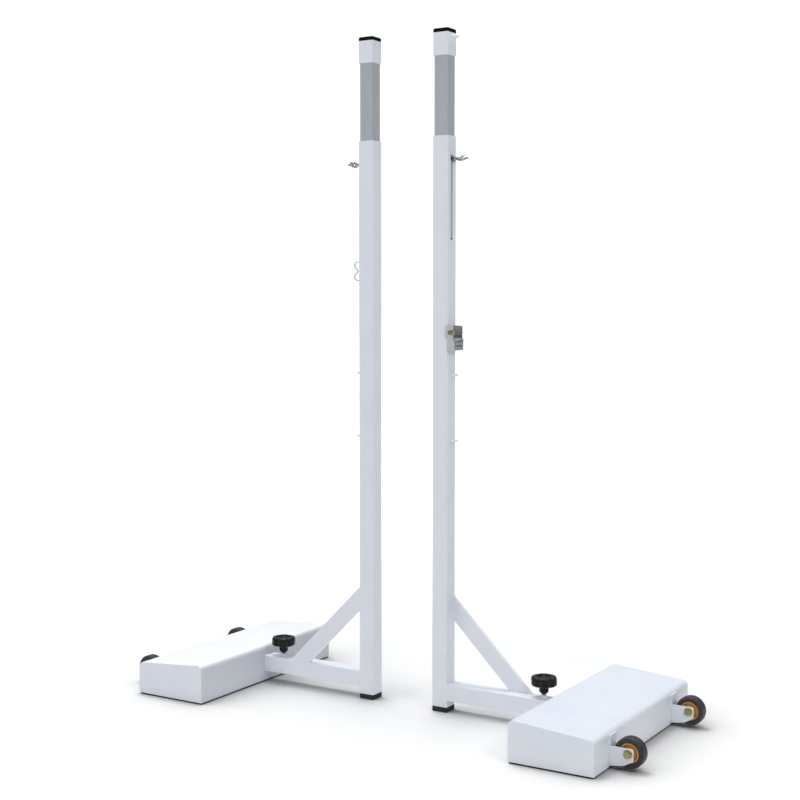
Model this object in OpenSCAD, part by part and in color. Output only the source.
// Pair of free-standing net posts for volleyball: two telescopic square posts on
// concrete-filled ballast boxes with transport wheels. Millimetres, +Z up. The origin is
// on the floor, midway between the two post axes. +X runs along the line of the net,
// -Y is the front.

/* [Post] */
// Outside width of the lower square tube
post_w = 60; // [58:0.5:62]
// Wall thickness of the lower square tube
post_wall = 3; // [2.5:0.5:3]
// Outside width of the inner square tube
inner_w = 53; // [51:0.5:53]
// Height of the top of the lower tube above the floor
outer_top = 2058; // [2040:1:2070]
// Height of the complete post when pulled out
total_h = 2430; // [2425:1:2445]
// Length that the inner tube slides down
height_travel = 275; // [200:1:275]
// Thickness of the rubber foot under the post
foot_h = 19; // [10:1:30]
// Distance between the two post axes as they stand side by side
post_gap = 312; // [250:1:600]

/* [Base arm] */
// Height of the centre of the base arm above the floor
arm_z = 73.5; // [65:0.5:80]
// Distance from the post axis to the face of the ballast box
box_x = 473; // [460:1:520]
// Leg length of the brace, measured on its lower edge
brace_leg = 231; // [180:1:260]
// Width of the brace bar
brace_w = 60; // [40:1:65]
// Thickness of the brace bar
brace_t = 15; // [8:1:20]

/* [Ballast box] */
// Width of the ballast box
box_w = 299; // [260:1:340]
// Length of the ballast box
box_l = 827; // [760:1:900]
// Height of the box on the side of the arm
box_h1 = 145; // [135:1:160]
// Height of the box on the side of the wheels
box_h2 = 121; // [115:1:130]
// Radius of the folded long edges of the box
box_r = 20; // [8:1:24]
// Thickness of the rubber mat under the box
mat_t = 6; // [3:1:8]

/* [Wheels] */
// Diameter of the tyre
tyre_d = 100; // [90:1:102]
// Width of the tyre
tyre_w = 40; // [32:1:40]
// Distance from the middle of the box to each wheel
wheel_y = 271; // [220:1:300]
// Height of the wheel axle above the floor
axle_z = 59; // [57:1:62]

/* [Knob] */
// Diameter of the clamping knob
knob_d = 91; // [70:1:94]
// Distance from the post axis to the knob
knob_x = 402; // [385:1:410]

/* [Hidden] */

$fn = 64;
post_half = post_w / 2;
inner_wall = 3;
corner_r = 2;           // outer corners of all square tubes
arm_top = arm_z + post_half;
cut = 1;                // how far a cutter starts outside the part
thread_gap = 0.08;      // radial gaps round screws and shafts
fit_gap = 0.05;
axle_gap = 0.1;
winch_gap = 0.02;

white = [0.90, 0.91, 0.93];
grey = [0.62, 0.65, 0.67];
black = [0.07, 0.07, 0.08];
drum_black = [0.10, 0.10, 0.11];
strap_black = [0.05, 0.05, 0.05];
zinc = [0.72, 0.73, 0.74];
yellow_zinc = [0.62, 0.58, 0.30];
amber = [0.80, 0.50, 0.12];
stone = [0.60, 0.58, 0.55];

// ---- placing ----------------------------------------------------------------
// A unit is drawn with its post axis on Z and its base arm along +X.
module at(side) {
    if (side == "right") translate([post_gap / 2, 0, 0]) children();
    else translate([-post_gap / 2, 0, 0]) rotate([0, 0, 180]) children();
}

// ---- shared shapes ----------------------------------------------------------
// Square with true rounded corners
module rounded_square(w, r) {
    union() {
        square([w, w - 2 * r], center = true);
        square([w - 2 * r, w], center = true);
        for (x = [-1, 1], y = [-1, 1])
            translate([x * (w / 2 - r), y * (w / 2 - r)]) circle(r);
    }
}
// Upright block with rounded corners, its underside at height z
module block(z, h, w, r) {
    translate([0, 0, z]) linear_extrude(h) rounded_square(w, r);
}
module tube_profile(w, wall) {
    difference() {
        rounded_square(w, corner_r);
        rounded_square(w - 2 * wall, max(corner_r - wall, 1));
    }
}
// Square tube along X at the height of the base arm
module tube_x(w, wall, x_start, x_end) {
    translate([x_start, 0, arm_z]) rotate([90, 0, 90])
        linear_extrude(x_end - x_start) tube_profile(w, wall);
}
// Round rod along +X, starting at x
module rod_x(x, r, h) {
    translate([x, 0, 0]) rotate([0, 90, 0]) cylinder(r = r, h = h);
}
// Hexagonal prism, sized across its flats
module hexagon(flats, h) {
    cylinder(r = flats / sqrt(3), h = h, $fn = 6);
}

// Level half ring of rod with two short legs, on the post's face over the arm
eye_leg = 7;
eye_ring_r = 14;
eye_rod_r = 4.5;
module half_eye(z) {
    translate([post_half, 0, z]) {
        for (s = [-1, 1])
            translate([0, s * eye_ring_r, 0]) rotate([0, 90, 0])
                cylinder(r = eye_rod_r, h = eye_leg, $fn = 32);
        translate([eye_leg, 0, 0]) rotate([0, 0, -90]) rotate_extrude(angle = 180)
            translate([eye_ring_r, 0]) circle(eye_rod_r, $fn = 32);
    }
}

// ---- post -------------------------------------------------------------------
plug_gap = 0.6;                         // plugs are this much narrower than their tube
outer_plug_w = post_w - 2 * post_wall - plug_gap;
outer_plug_r = 1.2;
foot_plug_h = 22;
lock_z = outer_top - 81;                // height of the locking eye
slot_w = 16;
slot_bot = lock_z - height_travel - 2;  // centres of the slot's round ends
slot_top = lock_z + 8;
slot_margin = 4;                        // cutter beyond each side of the wall
arm_end_gap = 0.5;                      // from the end of the arm to the box
stud_r = 6;
knob_nut_h = 10.5;
cord_eye_drops = [843, 1077];           // below the top of the lower tube

// Lower tube with the height slot in the face over the base arm
module outer_tube() {
    slot_depth = post_wall + 2 * slot_margin;
    color(white) difference() {
        translate([0, 0, foot_h]) linear_extrude(outer_top - foot_h)
            tube_profile(post_w, post_wall);
        translate([post_half - post_wall - slot_margin, 0, 0]) {
            for (z = [slot_bot, slot_top])
                translate([0, 0, z]) rod_x(0, slot_w / 2, slot_depth);
            translate([0, -slot_w / 2, slot_bot]) cube([slot_depth, slot_w, slot_top - slot_bot]);
        }
    }
}
module arm_tube() {
    color(white) difference() {
        tube_x(post_w, post_wall, post_half, box_x - arm_end_gap);
        translate([knob_x, 0, arm_z]) cylinder(r = stud_r + thread_gap, h = post_w);
    }
}
// Flat bar brace, flush with one side of the post and the arm
module brace_bar() {
    outer_leg = brace_leg + brace_w * sqrt(2);
    color(white) translate([0, post_half, 0]) rotate([90, 0, 0]) linear_extrude(brace_t)
        polygon([
            [post_half, arm_top + brace_leg], [post_half, arm_top + outer_leg],
            [post_half + outer_leg, arm_top], [post_half + brace_leg, arm_top]
        ]);
}
// Rubber foot with a plug that fits into the tube
module post_foot() {
    color(black) union() {
        block(0, foot_h, post_w, corner_r);
        block(foot_h, foot_plug_h, outer_plug_w, outer_plug_r);
    }
}
// Threaded nut on top of the arm for the clamping knob
module knob_nut() {
    color(white) translate([knob_x, 0, arm_top]) difference() {
        hexagon(19, knob_nut_h);
        translate([0, 0, -cut]) cylinder(r = stud_r + thread_gap, h = knob_nut_h + 1.5 * cut);
    }
}
module cord_eyes() {
    color(white) for (drop = cord_eye_drops) half_eye(outer_top - drop);
}

// ---- cord cleat -------------------------------------------------------------
cleat_z = outer_top - 470;
cleat_rod_r = 3.5;
// Corners of the cleat: x, height from its middle, bend radius
cleat_path = [
    [post_half + 0.3, 34, 0], [61, 34, 8], [71, 19, 6], [52, 0, 5],
    [71, -19, 6], [61, -34, 8], [post_half + 0.3, -34, 0]
];
leg_overlap = 0.3;      // straight legs run this far into the bends
leg_inset = 0.05;       // and are this much thinner in radius

function direction(a, b) = (b - a) / norm(b - a);
// Signed turn at corner b of the path a, b, c
function bend_angle(a, b, c) =
    let (u = direction(a, b), v = direction(b, c)) atan2(u[0] * v[1] - u[1] * v[0], u * v);
// Distance from corner b to either end of its bend
function bend_setback(a, b, c, radius) = radius * tan(abs(bend_angle(a, b, c)) / 2);

// Rod through corner points in the plane X-Z, each corner rounded to its own radius
module bent_rod(points, radii, rod_r) {
    last = len(points) - 1;
    setbacks = [for (i = [0:last]) i == 0 || i == last
        ? 0 : bend_setback(points[i - 1], points[i], points[i + 1], radii[i])];
    for (i = [0:last - 1]) {
        along = direction(points[i], points[i + 1]);
        start = points[i] + along * (setbacks[i] - leg_overlap);
        leg = norm(points[i + 1] - points[i]) - setbacks[i] - setbacks[i + 1];
        translate([start[0], 0, start[1]]) rotate([0, atan2(along[0], along[1]), 0])
            cylinder(r = rod_r - leg_inset, h = leg + 2 * leg_overlap, $fn = 32);
    }
    for (i = [1:last - 1]) {
        turn = bend_angle(points[i - 1], points[i], points[i + 1]);
        along = direction(points[i - 1], points[i]);
        side = turn > 0 ? 1 : -1;
        start = points[i] - along * setbacks[i];
        centre = start + side * radii[i] * [-along[1], along[0]];
        from = atan2(start[1] - centre[1], start[0] - centre[0]);
        translate([centre[0], 0, centre[1]]) rotate([90, 0, 0])
            rotate([0, 0, side > 0 ? from : from + turn])
            rotate_extrude(angle = abs(turn)) translate([radii[i], 0]) circle(rod_r, $fn = 32);
    }
}
// Rod bent to two bows for tying off the net cord
module cord_cleat() {
    color(white) union() bent_rod(
        [for (corner = cleat_path) [corner[0], cleat_z + corner[1]]],
        [for (corner = cleat_path) corner[2]],
        cleat_rod_r);
}

// ---- telescopic top ---------------------------------------------------------
inner_half = inner_w / 2;
inner_plug_w = inner_w - 2 * inner_wall - plug_gap;
inner_plug_r = 1.5;
inner_bot = 1700;           // lower end of the inner tube when pulled out
cap_h = 14;
cap_plug_h = 26;
sleeve_h = 80;
sleeve_top = total_h - cap_h;
sleeve_gap = 0.3;           // sleeve bore over the width of the inner tube
glide_h = 10;
glide_plug_h = 25;
lock_r = 5;                 // shank of the locking screw
lock_hole_gap = 0.3;
lock_nut_w = 22;
lock_nut_t = 10;

module inner_tube() {
    color(grey) difference() {
        translate([0, 0, inner_bot]) linear_extrude(sleeve_top - inner_bot)
            tube_profile(inner_w, inner_wall);
        translate([0, 0, lock_z])
            rod_x(inner_half - inner_wall - 2, lock_r + lock_hole_gap, inner_wall + 4);
    }
}
module head_sleeve() {
    color(white) translate([0, 0, sleeve_top - sleeve_h]) linear_extrude(sleeve_h) difference() {
        rounded_square(post_w, corner_r);
        rounded_square(inner_w + sleeve_gap, corner_r + sleeve_gap / 2);
    }
}
// Plastic end cap with a stepped edge and a plug inside the inner tube
module top_cap() {
    // depth below the top, height, reduction in width
    layers = [[cap_h, cap_h - 3, 0], [3, 1.5, 1.6], [1.5, 1.5, 4.6]];
    color(black) union() {
        for (layer = layers) block(total_h - layer[0], layer[1], post_w - layer[2], corner_r);
        block(sleeve_top - cap_plug_h, cap_plug_h, inner_plug_w, inner_plug_r);
    }
}
// Plastic plug that guides the lower end of the inner tube
module glide_plug() {
    color(black) union() {
        block(inner_bot - glide_h, glide_h, outer_plug_w, outer_plug_r);
        block(inner_bot, glide_plug_h, inner_plug_w, inner_plug_r);
    }
}
// Square nut inside the inner tube
module lock_nut() {
    x = inner_half - inner_wall - lock_nut_t;
    color(zinc) difference() {
        translate([x, -lock_nut_w / 2, lock_z - lock_nut_w / 2])
            cube([lock_nut_t, lock_nut_w, lock_nut_w]);
        translate([0, 0, lock_z]) rod_x(x - cut, lock_r + thread_gap, lock_nut_t + 2 * cut);
    }
}
// Locking screw: shank, collar, hexagon, neck and a slanted thick ring with a short tail
module lock_eye() {
    ring_r = 11.5;
    ring_x = post_half + 40;
    collar_x = post_half + 0.6;
    collar_t = 2.6;
    color(zinc) translate([0, 0, lock_z]) union() {
        rod_x(12, lock_r, post_half);
        rod_x(collar_x, 11, collar_t);
        translate([collar_x + collar_t, 0, 0]) rotate([0, 90, 0]) hexagon(17, 9);
        rod_x(post_half + 12, 5.8, 14);
        translate([ring_x + ring_r, 0, 0]) rotate([0, 90, 0]) cylinder(r1 = 4.4, r2 = 3, h = 14.5);
        translate([ring_x, 0, 0]) rotate([-60, 0, 0]) rotate([90, 0, 0])
            rotate_extrude() translate([ring_r, 0]) circle(5.5, $fn = 48);
    }
}
module head_eye() {
    color(white) half_eye(sleeve_top - 15);
}

// ---- ballast ----------------------------------------------------------------
box_end = box_x + box_w;
box_slope = atan2(box_h2 - box_h1, box_w);
shell_t = 3;
fill_inset = shell_t + 0.3;
mat_inset = 3;
stub_len = 140;

function box_top_z(x) = box_h1 + (box_h2 - box_h1) * (x - box_x) / box_w;

// Body of the box, with a sloping top and two rounded long edges, inset on all sides
// but its underside, which is at height bottom
module box_solid(inset, bottom) {
    length = box_l - 2 * inset;
    r = box_r - inset;
    x1 = box_x + inset;
    x2 = box_end - inset;
    // edge centres: r from the side wall and r below the inset sloping top
    drop = (r + inset) / cos(box_slope);
    c1 = [x1 + r, box_top_z(x1 + r) - drop];
    c2 = [x2 - r, box_top_z(x2 - r) - drop];
    to_top = r * [-sin(box_slope), cos(box_slope)];
    translate([0, length / 2, 0]) rotate([90, 0, 0]) union() {
        linear_extrude(length) polygon([
            [x1, bottom], [x1, c1[1]], c1 + to_top, c2 + to_top, [x2, c2[1]], [x2, bottom]
        ]);
        for (centre = [c1, c2]) translate(centre) cylinder(r = r, h = length);
    }
}
// Open at the bottom
module ballast_shell() {
    color(white) difference() {
        box_solid(0, mat_t);
        box_solid(shell_t, mat_t - 2);
    }
}
module concrete_fill() {
    color(stone) box_solid(fill_inset, mat_t);
}
module floor_mat() {
    color(black) translate([box_x + mat_inset, -box_l / 2 + mat_inset, 0])
        cube([box_w - 2 * mat_inset, box_l - 2 * mat_inset, mat_t]);
}
// Tube from the box into the base arm
module stub_tube() {
    color(white) tube_x(inner_w - 1, inner_wall, box_x - stub_len, box_x);
}

// ---- wheels -----------------------------------------------------------------
wheel_x = box_end + 64;     // axle, measured from the post axis
fork_w = 52;                // width over the two fork cheeks
fork_bot = 12;
fork_plate_t = 4;
fork_plate_h = 98;
cheek_t = 5;
cheek_r = 7;                // rounded upper corner of a cheek
axle_r = 8;
axle_overhang = 20;         // bolt end beyond the fork
washer_r = 14.5;
washer_t = 3;
axle_flats = 22;            // bolt head and nut, across flats
axle_head_h = 9;
axle_nut_h = 12;
sleeve_r = 10;
sleeve_end_gap = 0.1;
tyre_edge_r = 7;
hub_r = 32.5;
boss_r = 17;
web_half = 6;               // half of the thickness of the hub's web

// Outline of a fork cheek, drawn in the plane X-Z
module cheek_profile() {
    x_end = wheel_x + 18;
    top = axle_z + 17;
    union() {
        polygon([
            [box_end + fork_plate_t, fork_bot], [box_end + 52, 20], [x_end, 38],
            [x_end, top - cheek_r], [x_end - cheek_r, top - cheek_r], [x_end - cheek_r, top],
            [box_end + fork_plate_t, top]
        ]);
        translate([x_end - cheek_r, top - cheek_r]) circle(cheek_r);
    }
}
module fork(y) {
    difference() {
        union() {
            translate([box_end, y - fork_w / 2, fork_bot])
                cube([fork_plate_t, fork_w, fork_plate_h]);
            for (s = [-1, 1])
                translate([0, y + s * (fork_w / 2 - cheek_t / 2) + cheek_t / 2, 0])
                    rotate([90, 0, 0]) linear_extrude(cheek_t) cheek_profile();
        }
        translate([wheel_x, y - 40, axle_z]) rotate([-90, 0, 0])
            cylinder(r = axle_r + axle_gap, h = 80);
    }
}
module wheel_forks() {
    color(white) for (y = [-wheel_y, wheel_y]) fork(y);
}
// Washer with a hexagon of the given height on it
module washer_and_hexagon(h) {
    cylinder(r = washer_r, h = washer_t);
    translate([0, 0, washer_t]) hexagon(axle_flats, h);
}
// Bolts with the head on the unit's -Y side
module axle_bolts() {
    color(yellow_zinc) for (y = [-wheel_y, wheel_y])
        translate([wheel_x, y, axle_z]) rotate([90, 0, 0]) union() {
            translate([0, 0, -fork_w / 2 - axle_overhang])
                cylinder(r = axle_r, h = fork_w + axle_overhang);
            translate([0, 0, fork_w / 2]) washer_and_hexagon(axle_head_h);
        }
}
module axle_nuts() {
    color(yellow_zinc) for (y = [-wheel_y, wheel_y])
        translate([wheel_x, y + fork_w / 2, axle_z]) rotate([-90, 0, 0]) difference() {
            union() washer_and_hexagon(axle_nut_h);
            translate([0, 0, -cut])
                cylinder(r = axle_r + fit_gap, h = washer_t + axle_nut_h + 3 * cut);
        }
}
// Spacer tubes on the axles, between the fork cheeks
module axle_sleeves() {
    end = cheek_t + sleeve_end_gap;
    color(zinc) for (y = [-wheel_y, wheel_y])
        translate([wheel_x, y - fork_w / 2 + end, axle_z]) rotate([-90, 0, 0]) difference() {
            cylinder(r = sleeve_r, h = fork_w - 2 * end);
            translate([0, 0, -cut]) cylinder(r = axle_r + axle_gap, h = fork_w);
        }
}
module tyre(y) {
    half = tyre_w / 2;
    r = tyre_d / 2;
    edge = tyre_edge_r;
    bore = hub_r + fit_gap;
    color(black) translate([wheel_x, y, axle_z]) rotate([90, 0, 0])
        rotate_extrude($fn = 96) union() {
            polygon([
                [bore, -half + 2], [r - edge, -half], [r - edge, -half + edge], [r, -half + edge],
                [r, half - edge], [r - edge, half - edge], [r - edge, half], [bore, half - 2]
            ]);
            // quarter rounds on both edges of the tread
            for (s = [-1, 1]) intersection() {
                translate([r - edge, s * (half - edge)]) circle(edge, $fn = 48);
                translate([r - edge - 0.01, s > 0 ? half - edge : -half]) square([edge + 1, edge]);
            }
        }
}
// Plastic hub with a rim, a recessed web and a bored boss
module wheel_hub(y) {
    half = tyre_w / 2 - 2;
    bore = sleeve_r + fit_gap;
    color(amber) translate([wheel_x, y, axle_z]) rotate([90, 0, 0]) rotate_extrude($fn = 96)
        polygon([
            [bore, -half - 2], [boss_r, -half - 2], [boss_r, -web_half], [hub_r - 6, -web_half],
            [hub_r - 4.5, -half], [hub_r, -half], [hub_r, half], [hub_r - 4.5, half],
            [hub_r - 6, web_half], [boss_r, web_half], [boss_r, half + 2], [bore, half + 2]
        ]);
}

// ---- clamping knob ----------------------------------------------------------
knob_z = arm_top + 14.5;    // underside of the knob
rim_r = 9;                  // rounding of the upper rim
rim_z = 53;                 // centre height of that rounding above the underside

// Hand knob with a dished top, six shallow scallops, a neck and a tapered end
module knob() {
    r = knob_d / 2;
    color(black) translate([knob_x, 0, knob_z]) difference() {
        union() {
            rotate_extrude($fn = 96) union() {
                // radius, height: tapered end, neck and head
                polygon([
                    [0, 0], [9, 0], [16.5, 8], [16.5, 24], [25, 24], [r, 33], [r, 50],
                    [r - 6, 50], [r - 6, 60], [r - rim_r, 62], [28, 63.5], [0, 63.5]
                ]);
                intersection() {
                    translate([r - rim_r, rim_z]) circle(rim_r, $fn = 48);
                    translate([r - rim_r, 48]) square([10, 15]);
                }
                // head inside the rounded rim
                polygon([
                    [0, 30], [r, 33], [r, rim_z], [r - rim_r, rim_z],
                    [r - rim_r, rim_z + rim_r], [0, 63]
                ]);
            }
        }
        // scallops
        for (k = [0:5]) rotate([0, 0, 60 * k + 30]) translate([r + 15, 0, 20])
            cylinder(r = 19, h = 50);
        // stud hole
        translate([0, 0, -cut]) cylinder(r = stud_r, h = 40 + cut);
        // dish
        rotate_extrude($fn = 96) polygon([[0, 57], [22, 57], [27, 66], [0, 66]]);
    }
}
module knob_stud() {
    color(zinc) translate([knob_x, 0, arm_top - 3.5]) cylinder(r = stud_r, h = 58);
}

// ---- net winch --------------------------------------------------------------
drum_x = 47.5;              // axis of the drum, from the post axis
drum_z = outer_top - 691;
pawl_x = 53;
pawl_z = drum_z - 24;
pivot_r = 3;
shaft_r = 6;
core_r = 8;
plate_t = 3;
cheek_y = 31.2;             // inner faces of the bracket's cheeks
plate_half = 31.3;          // half width of base and web
bracket_bot = -64;          // lower and upper ends of the bracket, from the drum's axis
bracket_top = 24;
strap_w = 48;
winch_nut_h = 9;
tooth_count = 12;

// Outline of a cheek: x, height from the drum's axis
winch_cheek = [
    [24, -22], [24, 20], [28, bracket_top], [52, bracket_top], [56, 20], [56, -22],
    [60, -30], [60, -60], [56, bracket_bot], [33, bracket_bot], [33, -22]
];
// Sections of the drum: radius, start along Y, length
drum_sections = [[shaft_r, -45, 84], [core_r, -24.5, 52], [13, 24.5, 3]];
// Points of a ratchet tooth: radius, angle
tooth_points = [[14.3, 0], [10.8, 3]];

// Puts children on the drum's axis, their Z along +Y
module on_drum_axis() {
    translate([drum_x, 0, drum_z]) rotate([-90, 0, 0]) children();
}
module winch_cheek_profile() {
    difference() {
        polygon([for (p = winch_cheek) [p[0], drum_z + p[1]]]);
        translate([drum_x, drum_z]) circle(shaft_r + fit_gap);
        translate([pawl_x, pawl_z]) circle(pivot_r + fit_gap);
    }
}
// Bent bracket: base on the post, two cheeks beside it and a web with a strap slot below
module winch_frame() {
    bottom = drum_z + bracket_bot;
    color(zinc) union() {
        for (y = [-cheek_y, cheek_y + plate_t])
            translate([0, y, 0]) rotate([90, 0, 0]) linear_extrude(plate_t) winch_cheek_profile();
        translate([post_half, -plate_half, bottom])
            cube([plate_t, 2 * plate_half, bracket_top - bracket_bot]);
        difference() {
            translate([57, -plate_half, bottom]) cube([plate_t, 2 * plate_half, 31]);
            translate([50, -21, drum_z - 50]) cube([15, 42, 8]);
        }
    }
}
module winch_drum() {
    color(drum_black) on_drum_axis() union() {
        for (s = drum_sections) translate([0, 0, s[1]]) cylinder(r = s[0], h = s[2]);
    }
}
// Toothed wheel on the drum's shaft
module ratchet_wheel() {
    color(zinc) on_drum_axis() translate([0, 0, -29.5]) linear_extrude(4.5) difference() {
        polygon([for (k = [0:tooth_count - 1], p = tooth_points)
            let (angle = 360 * k / tooth_count + p[1]) p[0] * [cos(angle), sin(angle)]]);
        circle(shaft_r + winch_gap);
    }
}
// Strap wound on the drum
module winch_strap() {
    color(strap_black) on_drum_axis() translate([0, 0, -strap_w / 2]) difference() {
        cylinder(r = 13.2, h = strap_w);
        translate([0, 0, -cut]) cylinder(r = core_r + winch_gap, h = strap_w + 2 * cut);
    }
}
// Hex nut on the drum's shaft, where the spanner or crank goes
module winch_nut() {
    color(yellow_zinc) translate([drum_x, 0, drum_z]) rotate([90, 0, 0])
        translate([0, 0, 34.8]) difference() {
            hexagon(17, winch_nut_h);
            translate([0, 0, -cut]) cylinder(r = shaft_r + winch_gap, h = winch_nut_h + 3 * cut);
        }
}
// Pawl with its pivot, a sleeve, a thumb plate and a nose at the ratchet wheel
module winch_pawl() {
    color(zinc) translate([pawl_x, 0, pawl_z]) union() {
        translate([0, 36, 0]) rotate([90, 0, 0]) cylinder(r = pivot_r, h = 72);
        translate([0, 24, 0]) rotate([90, 0, 0]) cylinder(r = 5, h = 54);
        translate([0, -24, -2]) cube([17, 48, 4]);
        translate([0, -25.5, 0]) rotate([90, 0, 0]) linear_extrude(3.5)
            polygon([[-3, 3], [3.5, 3], [0.5, 9.3], [-1.5, 8.3]]);
    }
}

// ---- left post --------------------------------------------------------------
at("left") outer_tube();  // outer_tube_left
at("left") arm_tube();  // arm_tube_left
at("left") brace_bar();  // brace_bar_left
at("left") post_foot();  // post_foot_left
at("left") knob_nut();  // knob_nut_left
at("left") cord_cleat();
at("left") cord_eyes();  // cord_eyes_left
at("left") inner_tube();  // inner_tube_left
at("left") head_sleeve();  // head_sleeve_left
at("left") top_cap();  // top_cap_left
at("left") glide_plug();  // glide_plug_left
at("left") lock_nut();  // lock_nut_left
at("left") lock_eye();  // lock_eye_left
at("left") ballast_shell();  // ballast_shell_left
at("left") concrete_fill();  // concrete_fill_left
at("left") floor_mat();  // floor_mat_left
at("left") stub_tube();  // stub_tube_left
at("left") wheel_forks();  // wheel_forks_left
at("left") axle_bolts();  // axle_bolts_left
at("left") axle_nuts();  // axle_nuts_left
at("left") axle_sleeves();  // axle_sleeves_left
at("left") tyre(wheel_y);  // tyre_left_front
at("left") wheel_hub(wheel_y);  // wheel_hub_left_front
at("left") tyre(-wheel_y);  // tyre_left_rear
at("left") wheel_hub(-wheel_y);  // wheel_hub_left_rear
at("left") knob();  // knob_left
at("left") knob_stud();  // knob_stud_left
// ---- right post, with the winch ---------------------------------------------
at("right") outer_tube();  // outer_tube_right
at("right") arm_tube();  // arm_tube_right
at("right") brace_bar();  // brace_bar_right
at("right") post_foot();  // post_foot_right
at("right") knob_nut();  // knob_nut_right
at("right") cord_eyes();  // cord_eyes_right
at("right") inner_tube();  // inner_tube_right
at("right") head_sleeve();  // head_sleeve_right
at("right") top_cap();  // top_cap_right
at("right") glide_plug();  // glide_plug_right
at("right") lock_nut();  // lock_nut_right
at("right") lock_eye();  // lock_eye_right
at("right") head_eye();
at("right") ballast_shell();  // ballast_shell_right
at("right") concrete_fill();  // concrete_fill_right
at("right") floor_mat();  // floor_mat_right
at("right") stub_tube();  // stub_tube_right
at("right") wheel_forks();  // wheel_forks_right
at("right") axle_bolts();  // axle_bolts_right
at("right") axle_nuts();  // axle_nuts_right
at("right") axle_sleeves();  // axle_sleeves_right
at("right") tyre(-wheel_y);  // tyre_right_front
at("right") wheel_hub(-wheel_y);  // wheel_hub_right_front
at("right") tyre(wheel_y);  // tyre_right_rear
at("right") wheel_hub(wheel_y);  // wheel_hub_right_rear
at("right") knob();  // knob_right
at("right") knob_stud();  // knob_stud_right
at("right") winch_frame();
at("right") winch_drum();
at("right") ratchet_wheel();
at("right") winch_strap();
at("right") winch_nut();
at("right") winch_pawl();
